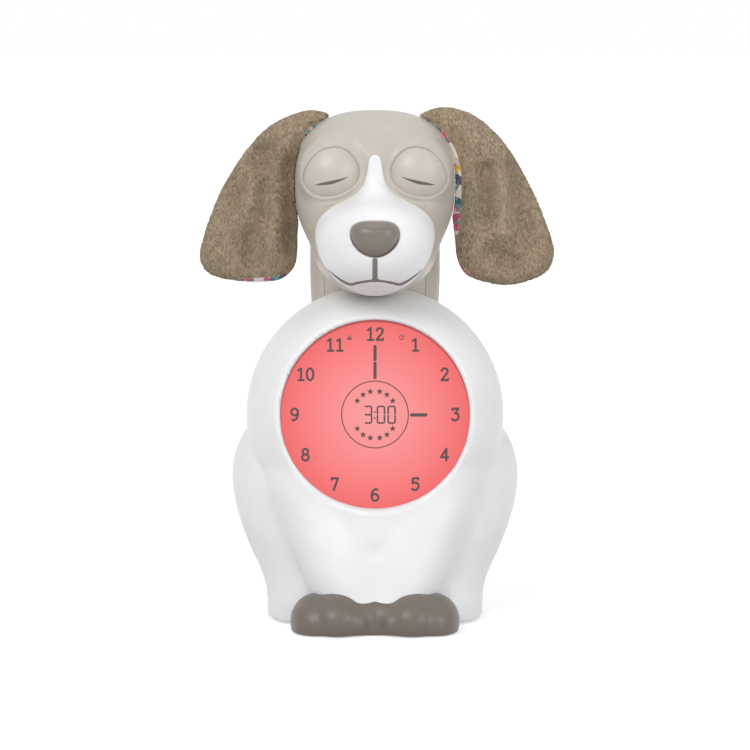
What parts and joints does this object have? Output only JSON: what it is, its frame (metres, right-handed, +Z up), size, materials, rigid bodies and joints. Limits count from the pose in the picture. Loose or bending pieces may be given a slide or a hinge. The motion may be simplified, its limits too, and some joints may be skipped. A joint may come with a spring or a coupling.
{
  "type": "kids alarm clock with night light",
  "caption": "Sitting-dog bedside clock for a child: round lit dial in the belly, motor-driven eyes that open, soft hanging ears, keys and speaker at the back.",
  "frame": {"origin": "on the table under the middle of the clock's bounding box", "axes": "+Z up, -Y out of the dial and face, +X to the viewer's right"},
  "size_m": [0.161, 0.1163, 0.2304],
  "materials": {
    "white_shell": "smooth white moulded ABS, satin",
    "beige_shell": "warm light grey-beige moulded ABS, satin",
    "muzzle_white": "white moulded ABS, satin",
    "taupe_plastic": "taupe moulded plastic, soft satin",
    "eyelid": "beige moulded eyeball with lids, satin",
    "dial": "lit translucent dial, fine satin",
    "display": "display glass",
    "light_box": "white reflector",
    "board": "green circuit board",
    "led": "LED package",
    "dark_plastic": "black moulded plastic",
    "bracket": "grey moulded acetal",
    "gear": "natural acetal gear",
    "brass": "turned brass",
    "steel": "plated steel",
    "cell": "plain battery sleeve",
    "rubber": "soft grey rubber",
    "plush": "short-pile plush with a printed lining"
  },
  "bodies": {
    "housing": {"body_front_shell": "white_shell", "body_rear_shell": "white_shell", "base_plate": "white_shell", "batteries": "cell", "battery_contacts": "steel", "rubber_feet": "rubber", "paws": "taupe_plastic", "dial_lens": "dial", "dial_frame": "light_box", "lcd_panel": "display", "light_box_shell": "light_box", "led_board": "board", "leds": "led", "main_board": "board", "tact_switches": "dark_plastic", "control_panel": "white_shell", "lock_switch_body": "steel", "speaker": "dark_plastic", "speaker_grille": "white_shell", "speaker_ring": "light_box", "dc_jack": "dark_plastic", "neck_collar": "beige_shell", "head_front_shell": "beige_shell", "head_rear_shell": "beige_shell", "muzzle": "muzzle_white", "nose": "taupe_plastic", "idler_pin": "steel", "eye_motor": "steel", "eye_bracket": "bracket", "ear_clamp_left": "bracket", "ear_clamp_right": "bracket", "body_screws": "steel", "head_screws": "steel", "base_screws": "steel", "board_screws": "steel", "bracket_screws": "steel"},
    "eyes": {"eye_left": "eyelid", "eye_right": "eyelid", "eye_axle": "steel", "eye_gear": "gear"},
    "idler": {"idler_gear": "gear"},
    "pinion": {"motor_pinion": "brass"},
    "key_up": {"button_up": "taupe_plastic"},
    "key_down": {"button_down": "taupe_plastic"},
    "key_set": {"button_set": "taupe_plastic"},
    "key_alarm": {"button_alarm": "taupe_plastic"},
    "key_light": {"button_light": "taupe_plastic"},
    "key_volume": {"button_volume": "taupe_plastic"},
    "lock_slider": {"lock_switch_knob": "dark_plastic"},
    "door": {"battery_door": "white_shell", "battery_door_screw": "steel"},
    "left_ear": {"ear_left": "plush"},
    "right_ear": {"ear_right": "plush"}
  },
  "joints": [
    {"name": "eyes_turn", "type": "hinge", "parent": "housing", "child": "eyes", "pos_m": [0, -0.0085, 0.203], "axis": [-1, 0, 0], "range_deg": [0, 100]},
    {"name": "idler_turn", "type": "hinge", "parent": "housing", "child": "idler", "pos_m": [0, 0.0091, 0.203], "axis": [-1, 0, 0], "range_deg": [-121, 0]},
    {"name": "pinion_turn", "type": "hinge", "parent": "housing", "child": "pinion", "pos_m": [0, 0.0219, 0.203], "axis": [-1, 0, 0], "range_deg": [0, 201]},
    {"name": "press_up", "type": "slide", "parent": "housing", "child": "key_up", "axis": [0, -1, 0], "range_m": [0, 0.0012], "stiffness_N_per_m": 400, "springref_m": -0.0008},
    {"name": "press_down", "type": "slide", "parent": "housing", "child": "key_down", "axis": [0, -1, 0], "range_m": [0, 0.0012], "stiffness_N_per_m": 400, "springref_m": -0.0008},
    {"name": "press_set", "type": "slide", "parent": "housing", "child": "key_set", "axis": [0, -1, 0], "range_m": [0, 0.0012], "stiffness_N_per_m": 400, "springref_m": -0.0008},
    {"name": "press_alarm", "type": "slide", "parent": "housing", "child": "key_alarm", "axis": [0, -1, 0], "range_m": [0, 0.0012], "stiffness_N_per_m": 400, "springref_m": -0.0008},
    {"name": "press_light", "type": "slide", "parent": "housing", "child": "key_light", "axis": [0, -1, 0], "range_m": [0, 0.0012], "stiffness_N_per_m": 400, "springref_m": -0.0008},
    {"name": "press_volume", "type": "slide", "parent": "housing", "child": "key_volume", "axis": [0, -1, 0], "range_m": [0, 0.0012], "stiffness_N_per_m": 400, "springref_m": -0.0008},
    {"name": "lock_slide", "type": "slide", "parent": "housing", "child": "lock_slider", "axis": [1, 0, 0], "range_m": [0, 0.004]},
    {"name": "door_swing", "type": "hinge", "parent": "housing", "child": "door", "pos_m": [0, 0.0317, 0.0013], "axis": [1, 0, 0], "range_deg": [0, 75]},
    {"name": "left_ear_lift", "type": "hinge", "parent": "housing", "child": "left_ear", "pos_m": [-0.0215, 0.013, 0.227], "axis": [0, 1, 0], "range_deg": [0, 60]},
    {"name": "right_ear_lift", "type": "hinge", "parent": "housing", "child": "right_ear", "pos_m": [0.0215, 0.013, 0.227], "axis": [0, -1, 0], "range_deg": [0, 60]}
  ],
  "couplings": [
    {"joint": "idler_turn", "follows": "eyes_turn", "ratio": -1.2},
    {"joint": "pinion_turn", "follows": "eyes_turn", "ratio": 2}
  ]
}
